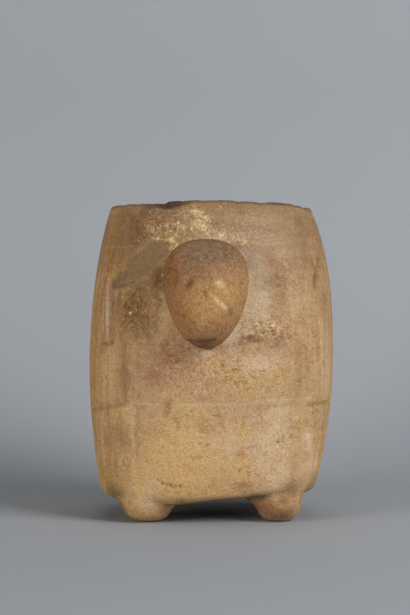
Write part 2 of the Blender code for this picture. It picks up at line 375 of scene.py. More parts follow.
def applyModifier(made, kind, **settings):
    step = made.modifiers.new(kind, kind)
    for name, value in settings.items():
        setattr(step, name, value)
    graph = bpy.context.evaluated_depsgraph_get()
    mesh = bpy.data.meshes.new_from_object(made.evaluated_get(graph), preserve_all_data_layers=True, depsgraph=graph)
    made.modifiers.clear()
    old, made.data = made.data, mesh
    bpy.data.meshes.remove(old)


def readPoints(made):
    points = np.empty(3 * len(made.data.vertices))
    made.data.vertices.foreach_get("co", points)
    return points.reshape(-1, 3) / toMetres


def readNormals(made):
    normals = np.empty(3 * len(made.data.vertices), np.float32)
    made.data.vertex_normals.foreach_get("vector", normals)
    return normals.reshape(-1, 3).astype(float)


def writePoints(made, points):
    made.data.vertices.foreach_set("co", (points * toMetres).ravel())
    made.data.update()


def relax(made, rounds, share):
    # each point moves part of the way to the middle of its neighbours
    points = readPoints(made)
    edges = np.empty(2 * len(made.data.edges), np.int32)
    made.data.edges.foreach_get("vertices", edges)
    first, second = edges.reshape(-1, 2).T
    ends, others = np.concatenate([first, second]), np.concatenate([second, first])
    count = np.bincount(ends, minlength=len(points))[:, None]
    for _ in range(rounds):
        middle = np.stack([np.bincount(ends, points[others, k], len(points)) for k in range(3)], axis=1) / count
        points += (middle - points) * share
    writePoints(made, points)


form = {
    "voxel": 0.8,  # fine enough for the worn edges, about one and a half pixels of the photo
    "triangles": 190000,
    "wallFrom": 9.0,  # how far above the feet's height the plain wall begins
    "headZone": (26.0, 128.0, 34.0),  # half-width, middle and half-height of the place that the head covers
    "headEdge": (0.6, 2.0),  # how far out of the wall the head begins, and over what width
    "insideEdge": (-3.5, -2.0),  # the same for the inside, which lies inwards of the wall
    "insideFrom": 10.0,  # above the feet's height
    # softened once joined: the feet's roots by height, the head's foot by distance out; lowest, highest, edge
    "feetRoots": (7.0, 25.0, 6.0),
    "headFoot": (0.2, 2.5, 1.5),
    "softening": (3, 14, 4),  # rounds all over, at the feet's roots and at the head's foot
    "softeningShare": 0.5,
    # how freely faces may be merged: everywhere, on the underside, at the back; the inside is 1
    "merging": (0.05, 0.7, 0.35),
    "undersideTop": 16.0,
    "levelFrom": 0.9,  # how level a face is to count as underside
    "backFrom": 110.0,  # azimuth
    "lastSoftening": 0.15,
    "padFlat": 0.12,  # mm of the feet's pads that are levelled
}

vase = loftAll("vaseStone", [bodyRings(), headRings()] + [footRings(*one) for one in feet["each"]])
applyModifier(vase, "REMESH", mode="VOXEL", voxel_size=form["voxel"] * toMetres, adaptivity=0.0)
print("body, head and feet joined:", len(vase.data.vertices), "points")


def chart(points):
    # where each point lies: azimuth, height, distance out from the plain wall, and its shares of head and of inside
    x = points[:, 0] - leanAt(points[:, 2])
    y = points[:, 1] - axisY
    azimuth = np.degrees(np.arctan2(x, -y))
    z = points[:, 2]
    wallZ = np.clip(z, body["footHeight"] + form["wallFrom"], body["height"] - body["lip"])
    out = np.hypot(x, y) - wallRadius(azimuth, wallZ)
    halfWidth, middle, halfHeight = form["headZone"]
    zone = (np.abs(points[:, 0] - head["offset"]) < halfWidth) & (np.abs(z - middle) < halfHeight) & (points[:, 1] < 0)
    onHead = ramp(out, *form["headEdge"]) * zone
    inside = ramp(out, *form["insideEdge"]) * (z > body["footHeight"] + form["insideFrom"])
    return azimuth, z, out, onHead, inside


azimuth, z, out, onHead, inside = chart(readPoints(vase))
feetRoots = span(z, *form["feetRoots"]) * (1 - inside)
headFoot = span(out, *form["headFoot"]) * (onHead > 0)
for rounds, where in zip(form["softening"], (np.ones(len(z)), feetRoots, headFoot)):
    relax(vase, rounds, form["softeningShare"] * where[:, None])

carving = {
    "edge": 2.0,
    # each limb: first and last azimuth at its top, the same at its foot, lowest and highest edge, rise
    "limbs": [
        (-58.5, -53, -54.5, -49.8, 101, 134.5, 1.3), (-61, -43, -61, -42.5, 67.2, 100, 1.2),
        (-61, -36.5, -61, -38.5, 0, 64.5, 1.3), (58, 65, 57, 65, 97, 144, 1.3), (49.5, 65, 46.5, 65, 67.2, 100, 1.2),
        (48.5, 65, 48.5, 65, 40, 64.5, 0.7), (47.2, 65, 51.5, 65, 0, 50, 1.4), (119, 141, 119, 141, 0, 64.5, 1.3),
        (-142, -120, -142, -120, 0, 64.5, 1.3),
    ],
    # the band of the forearms: its top edge as azimuth and height, its ends, its lower edge, its rise
    "bandTop": [
        (-180, 100), (-43, 99), (-5, 98.4), (6, 98.8), (18, 101.4), (33, 103.5), (47, 104), (65, 100), (180, 100),
    ],
    "bandEnds": (-43, 47),
    "bandFoot": 67.2,
    "bandRise": 0.5,
    "bandEdges": (3.0, 1.6),  # width of its edges at the ends and the foot, and at the top
    "bandFade": (0.35, -12, 20),  # share of its rise on the left, azimuth from which it grows, over how many degrees
    # incised lines: points (azimuth, height), half-width, depth, dirt
    "grooves": [
        ([(-53, 134.5), (-51.6, 120), (-49.6, 101)], 1.2, 0.75, 0.4),
        ([(-59, 134), (-57, 118), (-54.8, 101.5)], 0.9, 0.6, 0.3),
        ([(-55, 100.2), (-49, 100.2)], 0.9, 0.6, 0.4),
        ([(-42.3, 99.8), (-42, 84), (-41.4, 69)], 1.3, 0.5, 0.34),
        ([(-67, 62), (-58.4, 63.6), (-45.8, 65.4), (-39.7, 68.2)], 1, 0.5, 0.28),
        ([(-35.3, 65), (-36.3, 42), (-37.6, 22)], 1.2, 0.3, 0.15),
        ([(2, 98), (6, 98.7), (18, 101.3), (33, 103.4), (38, 104)], 0.7, 0.45, 0.3),
        ([(-30, 67), (-11.6, 67), (0.5, 68.2), (13.2, 67.2), (25.3, 70), (39.5, 69.8), (46, 70)], 0.7, 0.25, 0),
        ([(63.5, 147.5), (60.5, 143.5), (57.6, 140), (55.6, 136), (54.8, 131.5)], 1.1, 1, 0.35),
        ([(57, 146), (57.3, 140.5)], 0.8, 0.5, 0.25),
        ([(50.9, 98.6), (49.5, 92), (47.6, 84.5)], 1, 0.35, 0.08),
        ([(46.9, 50), (48.2, 38), (50.6, 20)], 0.8, 0.4, 0.08),
        ([(62, 65.6), (48.5, 66)], 1, 0.3, 0.15),
        ([(33, 145.6), (36, 147.6), (39.5, 148.3), (44.5, 147.2), (48.8, 144.5), (52.8, 140)], 0.7, 0.16, 0),
        ([(20.7, 151.8), (25.9, 150.7), (33.3, 153.4), (38.8, 152.2), (45, 153.5)], 0.6, 0.16, 0),
        ([(25.6, 113.4), (27.5, 116), (29.5, 118)], 0.5, 0.25, 0),
        ([(18, 112.3), (30, 112.8), (46, 110.5)], 0.6, 0.14, 0),
    ],
    "lineRadius": 66.0,  # of the wall, for distances to a line
    # low lumps: azimuth, height, half-width, half-height, rise
    "lumps": [
        (-58, 33, 6, 14, 0.5), (-49, 85, 6.5, 13, 0.35), (-20, 45, 14, 20, 0.25), (30, 130, 14, 16, -0.25),
        (-36, 116, 11, 16, -0.3),
    ],
    # unevenness: how much in mm or degrees, size in mm, seed, octaves, stretch
    "noises": {
        "wander": (1.1, 14, 3, 2, 1),  # how limbs and lines stray sideways
        "drift": (0.8, 12, 4, 2, 1),  # and up and down
        "wear": (0.25, 22, 5, 2, 1),
        "upright": (0.13, 2.6, 8, 2, (1, 1, 0.07)),  # rubbing marks up and down beside the corners
        "level": (0.09, 3.2, 9, 2, (0.12, 0.12, 1)),  # and round the shoulder
        "swell": (0.38, 34, 1, 3, 1),
        "pecking": (0.1, 5, 2, 3, 1),
        "breaks": (1, 5, 12, 3, 1),
        "hollowing": (0.35, 16, 6, 3, (1, 1, 2.2)),  # marks left inside
    },
    "worn": 0.85,  # share of the relief that is left
    "lineWander": 0.5,  # share of the limbs' straying that lines have
    "corners": (62, 24),  # azimuth and half-width of the upright marks
    "elsewhere": 0.25,  # how strong they are away from there
    # heights from which marks fade in or out, and over how much
    "shoulderFrom": (60, 60),
    "footFade": (14, 6),
    "rimFade": (178.5, -3),
    "padFade": (1.5, 4),
    "headSwell": 0.6,  # share of the swell that the head has
    # small breaks of the rim: depth, more near an azimuth and its half-width; height, over how much; the same of noise
    "breakDepth": (0.45, 0.6, -24, 12),
    "breaksFrom": (174.5, 4),
    "breakShare": (-0.1, 0.5),
}


def lineDistance(azimuth, z, line):
    # distance along the wall, in millimetres, to a line of points (azimuth, height)
    nearest = np.full(len(z), 1e3)
    radius = math.radians(1) * carving["lineRadius"]
    for (a0, z0), (a1, z1) in zip(line, line[1:]):
        u, v = turnTo(azimuth, a0) * radius, z - z0
        du, dv = (a1 - a0) * radius, z1 - z0
        along = np.clip((u * du + v * dv) / (du * du + dv * dv), 0, 1)
        nearest = np.minimum(nearest, np.hypot(u - along * du, v - along * dv))
    return nearest


def limbRise(azimuth, z):
    rise = 0.0 * z
    for topFirst, topLast, lowFirst, lowLast, bottom, top, height in carving["limbs"]:
        share = np.clip((z - bottom) / (top - bottom), 0, 1)
        middle = (topFirst + topLast) / 2
        first = lowFirst + (topFirst - lowFirst) * share - middle
        last = lowLast + (topLast - lowLast) * share - middle
        limb = span(turnTo(azimuth, middle), first, last, carving["edge"]) * span(z, bottom, top, carving["edge"])
        rise = np.maximum(rise, height * limb)
    bandTop = np.interp(turnTo(azimuth, 0), *zip(*carving["bandTop"]))
    edge, topEdge = carving["bandEdges"]
    band = span(azimuth, *carving["bandEnds"], edge) * smooth((z - carving["bandFoot"]) / edge + 0.5)
    band = band * smooth((bandTop - z) / topEdge + 0.5)
    least, start, width = carving["bandFade"]
    return np.maximum(rise, carving["bandRise"] * band * (least + (1 - least) * ramp(azimuth, start, width)))


def blob(u, v, halfU, halfV):
    return np.exp(-((u / halfU) ** 2) - (v / halfV) ** 2)


face = {
    # bumps and hollows: x, height, half-width, half-height, rise, and a turn in degrees where it lies askew
    "forms": [
        (-15.6, 136.2, 4, 2.6, 0.75, 30),  # left eye
        (-12, 133, 1.3, 3.6, -1, -35),
        (4.3, 133.6, 3.9, 3.5, 0.55, -25),  # right eye
        (0.2, 133.6, 1.3, 3.6, -0.5, 20),
        (8.2, 131.6, 3.6, 1.6, -0.3, 20),
        (5.4, 121.6, 1.2, 6.2, 0.45, 45),  # old scratch's raised lip
        (9.8, 117.8, 1.5, 2.4, -0.55, 20),
        (-3.8, 128.2, 0.8, 0.9, -0.8),  # pit between the eyes
        (-5.4, 115, 4.6, 9, 0.35),  # ridge of the muzzle
        (-18, 120, 5, 9, -0.3, 15),
        (12, 141, 5, 6, -0.25, -20),
    ],
    # incised lines of mouth and brow: points (x, height), half-width, depth, darkness; in the mouth's slits and the
    # pit between the eyes the darkness is painted shade
    "lines": [
        ([(-12.4, 102.9), (-9.6, 102.4), (-6, 102.1), (-2.4, 102.6), (1.4, 103.2)], 0.55, 0.9, 0.95),
        ([(-10.6, 101), (-6, 100.7), (-1.4, 101.2)], 0.4, 0.4, 0.55),
        ([(-9.8, 99.6), (-5.8, 99.2), (-2, 99.7)], 0.5, 0.6, 0.85),
        ([(-3.4, 129.2), (-3.2, 127.4), (-2.6, 126.3)], 0.4, 0.5, 0.9),  # pit between the eyes
        ([(10.6, 127.5), (9, 131), (8.6, 135)], 0.5, 0.2, 0.25),
        ([(-1.2, 130), (-0.6, 134), (0.4, 137.4)], 0.5, 0.2, 0.35),
    ],
    "lineWidth": 1.2,  # how much wider the cut is than its dirt
    "from": (-58, -5),  # y at which the face begins, and over what width
}


def faceLine(x, z, line):
    nearest = np.full(len(z), 1e3)
    for (x0, z0), (x1, z1) in zip(line, line[1:]):
        du, dv = x1 - x0, z1 - z0
        along = np.clip(((x - x0) * du + (z - z0) * dv) / (du * du + dv * dv), 0, 1)
        nearest = np.minimum(nearest, np.hypot(x - x0 - along * du, z - z0 - along * dv))
    return nearest


def turned(x, z, x0, z0, turn=0):
    c, s = math.cos(math.radians(turn)), math.sin(math.radians(turn))
    return (x - x0) * c + (z - z0) * s, (z - z0) * c - (x - x0) * s


pits = {
    "named": [  # azimuth, height, radius, depth
        (-24.4, 23.2, 1.1, 1), (-22.3, 22.6, 0.8, 0.7), (-20.5, 22.1, 1.2, 1.1), (-17.8, 21.9, 0.8, 0.6),
        (-15.4, 21.6, 1, 0.9), (-26.5, 25, 0.8, 0.6), (39.1, 48.9, 0.8, 0.7), (16.1, 31.1, 0.7, 0.6),
        (-9.5, 63.5, 0.8, 0.5), (31, 66, 0.7, 0.5), (42.5, 79.6, 0.8, 0.6), (-25.5, 124.3, 0.8, 0.6),
    ],
    "scattered": 420,
    "ranges": [(-180, 180), (20, 176), (0.45, 1.2), (0.25, 0.75)],  # the same four of the scattered ones
    "seed": 11,
    "perDegree": 1.1,  # mm
    "steepness": 2.6,
}


def carve(points, normals):
    azimuth, z, out, onHead, inside = chart(points)
    wall = (1 - onHead) * (1 - inside)

    def noise(name):
        amount, size, seed, octaves, stretch = carving["noises"][name]
        return amount * stoneNoise(points * stretch, size, seed, octaves)

    wander = noise("wander")
    worn = carving["worn"] + noise("wear")
    rise = limbRise(azimuth + wander, z + noise("drift")) * worn
    for a0, z0, halfU, halfV, height in carving["lumps"]:
        rise = rise + height * blob(turnTo(azimuth, a0) * mmPerDegree, z - z0, halfU, halfV)
    for line, halfWidth, depth, _ in carving["grooves"]:
        near = lineDistance(azimuth + carving["lineWander"] * wander, z, line)
        rise = rise - depth * worn * bell(near, 0, halfWidth)
    rise = rise + noise("upright") * (bell(np.abs(azimuth), *carving["corners"]) + carving["elsewhere"])
    rise = rise + noise("level") * ramp(z, *carving["shoulderFrom"])
    rise = rise * wall * ramp(z, *carving["footFade"]) * ramp(z, *carving["rimFade"])
    # the whole skin is a little uneven, and the inside keeps the marks of its hollowing
    rise = rise + noise("swell") * (1 - (1 - carving["headSwell"]) * onHead)
    rise = rise + noise("pecking") * ramp(z, *carving["padFade"])
    depth, more, centre, halfWidth = carving["breakDepth"]
    breaks = ramp(z, *carving["breaksFrom"]) * ramp(noise("breaks"), *carving["breakShare"])
    rise = rise - (depth + more * bell(azimuth, centre, halfWidth)) * breaks
    rise = rise + inside * noise("hollowing")
    x = points[:, 0]
    faceRise = 0.0 * z
    for x0, z0, halfU, halfV, height, *turn in face["forms"]:
        faceRise = faceRise + height * blob(*turned(x, z, x0, z0, *turn), halfU, halfV)
    for line, halfWidth, depth, _ in face["lines"]:
        faceRise = faceRise - depth * bell(faceLine(x, z, line), 0, face["lineWidth"] * halfWidth)
    rise = rise + faceRise * onHead * ramp(points[:, 1], *face["from"])
    # pits: some where the photo shows them, the rest scattered by a fixed seed
    random = np.random.default_rng(pits["seed"])
    spots = list(zip(*(random.uniform(low, high, pits["scattered"]) for low, high in pits["ranges"])))
    hollow = 0.0 * z
    for a0, z0, radius, depth in pits["named"] + spots:
        # only the points near enough to feel it are worked out
        close = np.nonzero((np.abs(z - z0) < 3 * radius) & (np.abs(turnTo(azimuth, a0)) < 4 * radius))[0]
        away = np.hypot(turnTo(azimuth[close], a0) * pits["perDegree"], z[close] - z0) / radius
        hollow[close] = np.maximum(hollow[close], depth * np.exp(-(away ** pits["steepness"])))
    rise = rise - hollow * wall
    return points + normals * rise[:, None]


points, normals = readPoints(vase), readNormals(vase)
writePoints(vase, carve(points, normals))

# the hidden inside and underside are given fewer faces
weights = vase.vertex_groups.new(name="plain")
azimuth, z, out, onHead, inside = chart(readPoints(vase))
everywhere, underside, back = form["merging"]
isUnder = (points[:, 2] < form["undersideTop"]) & (np.abs(normals[:, 2]) > form["levelFrom"])
plain = everywhere + (1 - everywhere) * np.maximum(inside, underside * isUnder)
plain = np.maximum(plain, back * (np.abs(azimuth) > form["backFrom"]))
for level in np.unique(np.round(plain, 1)):
    weights.add(np.nonzero(np.round(plain, 1) == level)[0].tolist(), float(max(level, 0.02)), "REPLACE")
triangles = 2 * len(vase.data.polygons)
applyModifier(vase, "DECIMATE", ratio=form["triangles"] / triangles, vertex_group="plain", vertex_group_factor=1.0)
relax(vase, 1, form["lastSoftening"])

# stays inside the solid's own box
points = readPoints(vase)
low, high = (np.array(corner) / toMetres for corner in cadBox)
points = np.clip(points, low, high)
points[:, 2] = np.where(points[:, 2] < form["padFlat"], 0.0, points[:, 2])
writePoints(vase, points)
vase.data.shade_smooth()
print("vase carved and worn:", len(vase.data.polygons), "faces")

stains = {
    # on the wall: azimuth, height, half-width, half-height, strength, and a turn in degrees where it lies askew
    "cream": [
        (28, 44, 15, 24, 0.9), (33, 62, 12, 9, 0.5), (22.5, 130, 6, 19, 1.6), (-24, 111, 3.5, 13, 0.5, -10),
        (44, 124, 8, 12, 0.4), (52, 30, 8, 13, 0.7), (14, 34, 8, 10, 0.5), (-38, 60, 3, 9, 0.4),
        (0, 45, 30, 18, 0.5), (60, 92, 8, 20, 0.45), (59, 56, 6, 8, 0.5), (7, 160, 18, 4, 1), (28, 158, 24, 6, 0.7),
        (24, 167, 26, 6, 0.55), (37, 151, 10, 5, 0.6), (8, 171, 12, 8, 0.3), (-6, 163, 8, 8, 0.6),
        # the spot at (-3, 96) is painted light under the chin, where the head's shade falls; the thin lines at heights
        # 67.5 and 70 are a painted highlight on the ledge's top
        (-3, 96, 6, 2.5, 0.6), (28, 112, 12, 6, 0.35), (0, 67.5, 60, 0.9, 0.55), (36, 70, 14, 0.9, 0.5),
        (-53.6, 118, 1.5, 14, 1, 8), (-58.4, 120, 0.9, 14, 0.9, 8), (-52.5, 102.5, 2.4, 1.2, 0.9),
        (22, 90, 13, 7, 0.6), (39, 147.6, 10, 0.8, 0.35), (30, 151.8, 12, 0.7, 0.4), (28, 100.5, 16, 0.8, 0.3, 8),
        # the spots at (9.5, 106), (16.5, 118) and (16, 150) are painted light on the wall right of the head, where the
        # head's shade falls
        (27.5, 116, 0.8, 4, 0.8, -35), (9.5, 106, 5, 8, 1.3), (16.5, 118, 2.5, 6, 1), (16, 150, 3, 4, 1.2),
        (-68, 100, 7, 40, 0.6), (-32, 13, 6, 6, 0.8), (11, 44, 7, 12, 0.9), (48, 45, 3.5, 7, 1.2),
        # the spot at (17, 108) is painted light beside the chin, where the head's shade falls
        (35, 28, 8, 8, 1.15), (-27, 29, 8, 8, 1.15), (-32, 16, 4.5, 6, 1), (17, 108, 3.5, 9, 0.7, 20),
    ],
    "gold": [
        (-14, 36, 30, 20, 1), (-34, 28, 8, 13, 1), (16, 33, 9, 12, 0.8), (-44, 36, 8, 10, 0.6),
        (12, 30, 20, 10, 0.5), (-36, 10, 12, 10, 0.5), (-50, 84, 8, 13, 0.5), (-8, 56, 24, 12, 0.5),
        (15, 52, 7, 7, 0.75), (-56, 140, 4, 6, 0.9), (-24, 111, 3.5, 13, 0.7, -10),
    ],
    "ochre": [
        (-66, 100, 11, 90, 0.65), (-58, 158, 9, 24, 1), (-54, 28, 9, 14, 0.7), (-42, 84, 3, 15, 0.5),
        # the spot at (-28, 135), beside the head's upper left, is partly stain and partly painted shadow of the head
        (-28, 135, 5, 11, 1), (-30, 122, 4, 18, 0.4), (-40, 119, 11, 15, 0.85), (-44, 165, 10, 12, 0.6),
        (-49, 149, 8, 9, 1, 20),
    ],
    "patina": [
        (-42, 162, 13, 15, 1, 20), (-46, 153, 7, 8, 0.6), (-24, 173.5, 15, 5, 0.95, 5), (-38, 174, 8, 4.5, 1.4),
        (-7, 175.5, 6, 3, 0.8), (-24, 167, 9, 5, 0.75), (-40, 119, 10, 14, 0.88), (-34, 108, 7, 8, 0.4),
        # the spot at (-27.5, 136), beside the head's upper left, is partly stain and partly painted shadow of the head
        (-27.5, 136, 5, 12, 0.95), (-36, 130, 9, 7, 0.7), (57, 137, 3.5, 9, 0.6), (47, 88, 3.5, 11, 0.1, 5),
        (-43, 50, 6.5, 8, 0.45), (30.5, 100.5, 5, 2.5, 0.6), (-27, 112, 2.5, 8, 0.45), (-21, 152, 3, 4, 0.7),
        (-53, 47, 4, 6, 0.5), (58, 57, 6, 11, 0.45), (20, 103, 8, 1.8, 0.35, 4), (0, 13.5, 44, 2.6, 0.55),
        (44, 19, 7, 5, 0.95), (62, 120, 8, 26, 0.4), (54, 165, 14, 16, 0.85), (34, 141, 9, 11, 0.5),
        (42, 5, 8, 5, 0.9), (26, 9, 7, 8, 1.4), (-52, 17, 9, 6, 0.9), (-50, 6, 6, 7, 1.3), (58, 21, 9, 8, 0.55),
        # the long band at (10, 176.5) makes the rim's top darker along the front
        (-47.5, 122, 2.5, 10, 0.6), (31, 14, 4, 3.5, 0.9), (41, 13, 3, 4, 0.8), (10, 176.5, 60, 3, 0.8),
        (-15, 13, 6, 3, 0.9), (41, 78, 4, 12, 0.3),
    ],
    "rust": [
        (-20, 91, 10, 8, 0.52, 10), (-27, 83, 7, 6, 0.6), (-21, 65.5, 2.2, 5.5, 0.8, -15),
        (18.5, 22.5, 7, 3.5, 0.65), (16, 40, 4, 3.5, 0.4), (19, 103.8, 7, 2.4, 0.85), (-23, 99, 3, 5, 0.55),
        (-8, 88, 8, 5, 0.3), (35, 9, 4.5, 6, 0.75), (42, 96, 10, 10, 0.35), (-42, 164, 10, 10, 0.5),
        (-31, 168, 4, 4, 0.6), (-38, 117, 12, 16, 0.45), (30, 107, 8, 5, 0.5), (34, 132, 5, 8, 0.4),
        (-28, 52, 12, 6, 0.3), (23, 56, 8, 6, 0.4), (-2, 55, 10, 5, 0.42), (40, 60, 6, 16, 0.15),
        (-5, 60, 12, 3, 0.3),
    ],
    "crust": [
        (-14, 164, 14, 9, 0.42), (-20, 153.5, 5, 4, 0.8, 45), (-24, 126, 4, 16, 0.2), (24, 108, 9, 7, 0.5),
        (8, 161, 12, 4, 0.4), (-5.5, 168, 5, 5, 1.25, 20), (-8, 173.5, 5, 3, 0.8), (-3.5, 162.5, 7, 3.5, 0.75),
        (-21, 158.5, 6, 3, 0.9, 40), (-29, 160, 4, 3.5, 0.5, 20), (-22, 163, 4.5, 3, 0.4, 20),
        (6, 159.5, 9, 2.2, 0.8, -5), (-57, 137.6, 2.4, 2.6, 0.7), (16, 157, 6, 1.8, 0.6, -12), (36, 45, 8, 16, 0.35),
    ],
    # where the skin is a rough mosaic of grains
    "granular": [
        (-38, 120, 14, 20, 1), (-30, 165, 22, 14, 0.9), (10, 166, 30, 14, 0.65), (28, 108, 16, 8, 1),
        (36, 135, 16, 16, 0.55), (0, 85, 44, 16, 0.55), (0, 40, 50, 25, 0.25),
    ],
    # on the head: x, height, half-width, half-height, strength, turn
    "amber": [
        (-17, 130, 7, 9, 0.9), (-13, 118, 8, 11, 0.85), (3.5, 131, 7.5, 6, 0.7), (10, 128, 5, 8, 0.7),
        (4, 120, 5, 7, 0.5, 45), (-18, 112, 6, 12, 0.8),
    ],
    "ember": [
        (-21, 140, 6, 12, 1.1), (-20, 122, 6, 12, 0.6, 10), (-14, 113, 6, 8, 0.6, 20),
        # the spot at (-12.3, 132.6) is painted shade in the left eye's hollow
        (-12.3, 132.6, 2.6, 5, 1.2, -40), (3, 110.5, 5, 4, 0.35), (9, 118, 3, 3, 0.4), (-5, 141, 10, 4, 0.3),
        (-13, 124, 5, 5, 0.25), (-18.5, 110, 5, 12, 0.55), (-9, 104.5, 5, 4.5, 0.45),
    ],
    "gleam": [
        (4, 133.2, 4, 3.6, 0.52, -20), (4.8, 122.4, 1.6, 7.2, 0.68, 45), (-15.6, 136.6, 3.4, 1.8, 0.25, 30),
        (8, 129, 5, 5, 0.25), (-6, 111, 4, 7, 0.25), (-8.5, 106.5, 1.4, 1.4, 0.5), (12, 138, 3, 3, 0.25),
    ],
    # the smooth grey-brown patch's corners on the upper left of the front
    "patch": [
        (-53.8, 134), (-51, 138.4), (-45.5, 141.9), (-42.3, 148.6), (-35.8, 154.3), (-29.9, 157.6), (-22.8, 157),
        (-21.9, 151.5), (-25.2, 148.3), (-29.7, 144.6), (-34.1, 138.7), (-39.7, 133.8), (-45.2, 131.1),
        (-52.4, 130.6),
    ],
    "patchEdge": 6,  # mm
    "faceFrom": (-52, -6),  # y
    # away from the photographed side the same stains lie about as large loose clouds: size in mm, strength
    "clouds": {"cream": (38, 0.6), "gold": (46, 0.6), "ochre": (42, 0.5),
               "patina": (34, 0.7), "rust": (30, 0.6), "crust": (26, 0.5)},
    "cloudsFrom": (72, 16),  # azimuth
    "cloudStretch": (1, 1, 0.8),
    "cloudSeed": 40,
    "cloudShare": (-0.05, 0.5),
    # brown veil from the ground it lay in above, clean golden stone below: least strength, height, over how much
    "veils": [("patina", 0.62, 104, 62), ("gold", 0.35, 78, -40)],
    "worn": (0.45, -66, 11),  # brown rubbed off the left edge: share, azimuth, half-width
    "grains": (0.2, 0.5),  # least on the wall, and behind
    "headGrains": (0.32, 0.36, 128, 20),  # on the head: least, more above a height, over how much
    "crown": (123, 26, 0.35),  # the head's brown crown: height, over how much, slant
    # marks of rubbing: up and down near the corners, round about on the shoulder
    "upright": (60, 22),  # azimuth, half-width
    "uprightTo": (170, -30),
    "levelFrom": (108, 30),
}


def spread(away, z, spots):
    # the strongest spot at each point; away gives how far across a point lies from a place
    mask = 0.0 * z
    for place, z0, halfU, halfV, strength, *turn in spots:
        mask = np.maximum(mask, strength * blob(*turned(away(place), z, 0.0, z0, *turn), halfU, halfV))
    return mask


def polygonInset(azimuth, z, corners):
    # distance inside a closed outline on the wall: positive inside, negative outside
    closed = corners + corners[:1]
    away = lineDistance(azimuth, z, closed)
    within = np.zeros(len(z), bool)
    for (a0, z0), (a1, z1) in zip(closed, closed[1:]):
        crosses = (z0 > z) != (z1 > z)
        within ^= crosses & (turnTo(azimuth, 0) < a0 + (z - z0) * (a1 - a0) / (z1 - z0 if z1 != z0 else 1e-6))
    return np.where(within, away, -away)


# dirt in lines and pits, the rim's darker edge, and painted shade round the head, in its mouth and hollows and on the
# underside
dirtAndShadeLayout = {
    "grooves": 1.3,  # how much wider than a groove its dirt lies
    "pits": (0.8, 0.8, 0.7),  # strength, half-width and half-height as shares of the radius
    # the rim's edge is drawn darker, most of all where it is broken: strength, more near azimuths and their
    # half-widths
    "rim": 0.45,
    "rimMore": [(0.5, -24, 14), (0.2, 35, 30)],
    "rimReach": (2.6, 1.6),  # mm down from the rim, edge
    "rimDeeper": (3.0, -24, 9),  # mm more near an azimuth, half-width
    # painted shade round the head's foot and up its sides, strongest on the left where the head's shadow falls:
    # strength on the left, less on the right, over how many mm of x
    "foot": (0.7, 0.6, 8),
    "footAt": (0.9, 0.8),  # mm out of the wall, half-width
    "sides": (0.5, 0.3, 10),
    "sidesTo": (11, -9),
    # painted shade in the mouth, under the muzzle
    "mouth": (-6.4, 101.2, 7.6, 2.6),  # x, height, half-width, half-height
    "mouthShare": (0.3, 0.3),
    "mouthStrength": 0.4,
    # painted shade in the face's hollows:
    "hollows": (-0.5, 0.75),  # the face's hollows deeper than this, and how strong per mm
    # painted shade on the underside, on faces turned down between these heights
    "underside": (10, 17, 2),  # lowest, highest, edge
    "facingDown": (-0.75, -0.2),
    "undersideStrength": 1.5,
}


